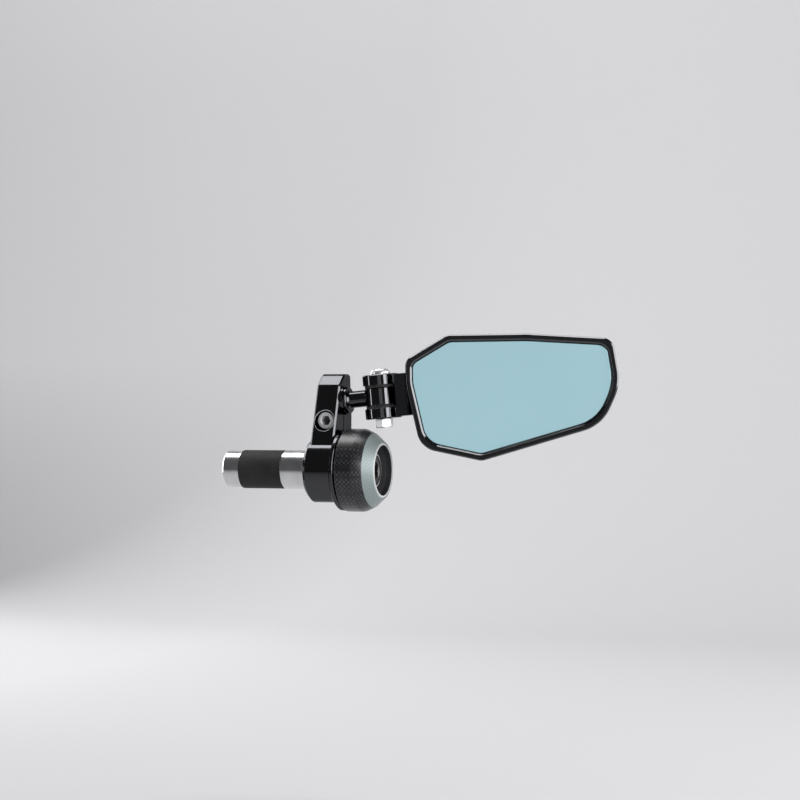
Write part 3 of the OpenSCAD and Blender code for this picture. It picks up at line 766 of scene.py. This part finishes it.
def makePinchScrew():
    p = pinchScrew
    place = (Matrix.Translation(pinchCentre + Vector((0, p["seat"], 0)) * mm)
             @ Matrix.Rotation(math.radians(90), 4, "X"))  # local Z faces the rider
    shank, head, top = p["shank"] / 2, p["head"] / 2, p["height"]
    bottom = top - p["socket"]
    loops = [circleLoop(shank - p["tipBreak"], -p["length"]), circleLoop(shank, p["tipBreak"] - p["length"]),
             circleLoop(shank, 0), circleLoop(head - 0.3, 0), circleLoop(head, 0.3),
             circleLoop(head, top - 0.9), circleLoop(head - 0.14, top - 0.45),
             circleLoop(head - 0.55, top - 0.1), circleLoop(head - 0.9, top),
             circleLoop(p["key"] / 2 * p["keyEntry"], top), hexLoop(p["key"], top - 0.2),
             hexLoop(p["key"], bottom), circleLoop(0.6, bottom - p["drillPoint"])]
    piece = pushLoops("pinchScrew", loops, place)
    finishPiece(piece, materials["pinchSteel"], p["softEdge"])
    # Painted shade: the head's outer rim, in the gap of the counterbore, and the socket's floor get the black
    # screw finish
    piece.data.materials.append(materials["screw"])
    for face in piece.data.polygons:
        radius = math.hypot(face.center.x - pinchCentre.x, face.center.z - pinchCentre.z) / mm
        rim = radius > head - p["shadedRim"]
        socketFloor = radius < p["key"] * 0.4 and abs(face.normal.y) > 0.5
        if rim or socketFloor:
            face.material_index = 1
    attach(piece, "arm")
    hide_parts("pinch_screw")


# Pale steel edge round the pinch screw's counterbore, a painted highlight, flush with the sloping rear of the
# arm
boreEdge = {"radius": 4.55, "width": 0.22, "crest": 0.6, "proud": 0.04, "sunk": 0.3, "slope": 17.74,
            "rear": -5.82}


def makeBoreEdge():
    e = boreEdge
    place = (Matrix.Translation(pinchCentre + Vector((0, e["rear"], 0)) * mm)
             @ Matrix.Rotation(math.radians(90 - e["slope"]), 4, "X"))  # local Z stands off the arm's face
    outer = e["radius"] + e["width"]
    crest = e["width"] * e["crest"]
    stretch = 1 / math.cos(math.radians(e["slope"]))

    def ring(radius, height):
        return [(x, y * stretch, z) for x, y, z in circleLoop(radius, height, 64)]

    loops = [ring(e["radius"], -e["sunk"]), ring(outer, -e["sunk"]), ring(outer, 0.0),
             ring(e["radius"] + crest, e["proud"]), ring(e["radius"], -crest), ring(e["radius"], -e["sunk"])]
    piece = pushLoops("boreEdge", loops, place)
    openRing(piece)
    finishPiece(piece, materials["boreHighlight"], 0)
    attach(piece, "arm")


# Centre bolt: a low wide head with a deep hexagon socket
centreBolt = {"tip": -40.0, "tipBreak": 0.4, "shank": 8.0, "seat": 26.2, "head": 15.6, "height": 4.6,
              "key": 8.0, "socket": 3.6, "drillPoint": 0.6, "highlightRim": (1.0, 1.05), "softEdge": 0.07}


def makeCentreBolt():
    b = centreBolt
    shank, head = b["shank"] / 2, b["head"] / 2
    top = b["seat"] + b["height"]
    bottom = top - b["socket"]
    loops = [circleLoop(shank - b["tipBreak"], b["tip"]), circleLoop(shank, b["tip"] + b["tipBreak"]),
             circleLoop(shank, b["seat"]), circleLoop(head, b["seat"]), circleLoop(head, top - 0.95),
             circleLoop(head - 0.12, top - 0.48), circleLoop(head - 0.48, top - 0.12),
             circleLoop(head - 0.95, top), circleLoop(b["key"] * 0.64, top - 0.02),
             circleLoop(b["key"] * 0.6, top - 0.2), hexLoop(b["key"], top - 0.35),
             hexLoop(b["key"], bottom), circleLoop(1.4, bottom - b["drillPoint"])]
    piece = pushLoops("centreBolt", loops, barFrame)
    finishPiece(piece, materials["screw"], b["softEdge"])
    # Painted highlight: the outer rim of the head gets pale steel in place of the black
    piece.data.materials.append(materials["rimHighlight"])
    rimDepth, rimWidth = b["highlightRim"]
    for face in piece.data.polygons:
        along, radius = face.center.x / mm, math.hypot(face.center.y, face.center.z) / mm
        if along > top - rimDepth and radius > head - rimWidth:
            face.material_index = 1
    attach(piece, "fitting")
    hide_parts("centre_bolt")


for makePiece in (makeEndCap, makeHousing, makeGlass, makePivotBolt, makePivotNut, makePinchScrew,
                  makeBoreEdge, makeCentreBolt):
    makePiece()
print("pieces modelled")

# Floor and backdrop in one swept sheet
studio = {"middle": 0.04, "floor": -150 * mm, "back": 1.3, "front": -2.6, "side": 2.2, "height": 2.4,
          "sweep": 0.5, "colour": (0.48, 0.48, 0.49, 1), "grain": (0.47, 0.47, 0.48, 1),
          "shade": (0.2, 0.2, 0.205, 1), "aside": (0.4, 1.1), "rise": 0.22, "rough": 0.9,
          "air": (0.09, 0.091, 0.093, 1)}


# Painted shade: the paper darkens to both sides, and only near the floor
def makePaper():
    look = studio
    material, tree, shader = newMaterial("studioPaper")
    vector = tree.objectPlace()
    place = tree.axes(vector)
    aside = tree.math("ABSOLUTE", tree.math("SUBTRACT", place["X"], look["middle"]))
    low = tree.ramp(place["Z"], 1.0, 0.0, look["floor"], look["floor"] + look["rise"])
    shade = tree.math("MULTIPLY", tree.ramp(aside, 0.0, 1.0, *look["aside"]), low)
    paper = tree.mix(tree.noise(vector, 400.0), look["grain"], look["colour"])
    tree.put(shader.inputs["Base Color"], tree.mix(shade, paper, look["shade"]))
    shader.inputs["Roughness"].default_value = look["rough"]
    return material


def makeStudio():
    bpy.ops.object.select_all(action="DESELECT")
    width = 2 * studio["side"]
    depth = studio["back"] - studio["front"]
    centre = (studio["middle"], (studio["back"] + studio["front"]) / 2, studio["floor"])
    bpy.ops.mesh.primitive_plane_add(size=1, location=centre)
    floor = bpy.context.object
    floor.name = "studioFloor"
    floor.scale = (width, depth, 1)
    bpy.ops.object.transform_apply(location=True, rotation=True, scale=True)
    bpy.ops.object.mode_set(mode="EDIT")
    bpy.ops.mesh.select_all(action="DESELECT")
    bpy.ops.object.mode_set(mode="OBJECT")
    for edge in floor.data.edges:
        ends = [floor.data.vertices[i].co.y for i in edge.vertices]
        edge.select = min(ends) > studio["back"] - 1e-4
    bpy.ops.object.mode_set(mode="EDIT")
    bpy.ops.mesh.select_mode(type="EDGE")
    bpy.ops.mesh.extrude_region_move(TRANSFORM_OT_translate={"value": (0, 0, studio["height"])})
    bpy.ops.object.mode_set(mode="OBJECT")
    sweep = floor.modifiers.new("sweep", "BEVEL")
    sweep.width = studio["sweep"]
    sweep.segments = 24
    bpy.ops.object.modifier_apply(modifier="sweep")
    bpy.ops.object.shade_smooth()
    floor.data.materials.append(makePaper())


makeStudio()


# Soft boxes, placed from the middle of the object and aimed at it, or at a point of their own
aimPoint = Vector((0.042, 0.0, 0.02))
lampSet = {
    "topBox": {"from": (-0.24, 0.08, 1.0), "size": (0.34, 1.1), "power": 8.4,
               "aim": (0.042, 0.08, 0.02)},
    "rightKey": {"from": (1.05, 0.02, 0.27), "size": (1.35, 0.86), "power": 22.0},
    "rightNear": {"from": (0.79, -0.76, 0.22), "size": (0.35, 0.45), "power": 4.0},
    "leftStrip": {"from": (-0.97, -0.49, 0.15), "size": (0.1, 0.9), "power": 2.4},
    "leftBack": {"from": (-0.92, 0.59, 0.17), "size": (0.6, 0.6), "power": 5.0,
                 "aim": (0.042, 0.0, 0.1)},
    "frontPanel": {"from": (0.42, -2.36, 0.12), "size": (0.9, 0.6), "power": 1.27},
    "backWash": {"from": (-0.8, 0.35, 0.95), "size": (1.2, 0.25), "power": 11.0,
                 "aim": (-0.85, 1.3, 0.4)},
}


def softBox(name, values):
    data = bpy.data.lights.new(name, "AREA")
    data.shape = "RECTANGLE"
    data.size, data.size_y = values["size"]
    data.energy = values["power"]
    lamp = bpy.data.objects.new(name, data)
    bpy.context.collection.objects.link(lamp)
    lamp.location = aimPoint + Vector(values["from"])
    target = Vector(values.get("aim", aimPoint))
    lamp.rotation_euler = (lamp.location - target).to_track_quat("Z", "Y").to_euler()
    lamp.visible_camera = False


for lampName, lampValues in lampSet.items():
    softBox(lampName, lampValues)

world = bpy.data.worlds.new("studioWorld")
bpy.context.scene.world = world
world.use_nodes = True
background = world.node_tree.nodes["Background"]
background.inputs["Color"].default_value = studio["air"]
background.inputs["Strength"].default_value = 1.0
bpy.context.scene.view_settings.view_transform = "Standard"
print("studio and lights made")

# Camera as in the photograph: 20 degrees outboard of straight behind, level with the mirror
shot = {"azimuth": 20, "distance": 1.1, "target": (42.19 * mm, 0.0, 31.1 * mm), "pixelsPerMm": 2.27,
        "pixels": 800, "sensor": 36, "nearest": 0.01}


def makeCamera():
    a = math.radians(shot["azimuth"])
    data = bpy.data.cameras.new("photoCamera")
    camera = bpy.data.objects.new("photoCamera", data)
    bpy.context.collection.objects.link(camera)
    away = Vector((math.sin(a), -math.cos(a), 0))
    camera.location = Vector(shot["target"]) + away * shot["distance"]
    camera.rotation_euler = away.to_track_quat("Z", "Y").to_euler()
    data.sensor_width = shot["sensor"]
    data.lens = shot["pixelsPerMm"] * shot["distance"] / mm * shot["sensor"] / shot["pixels"]
    data.clip_start = shot["nearest"]
    bpy.context.scene.camera = camera


makeCamera()
print("camera made")
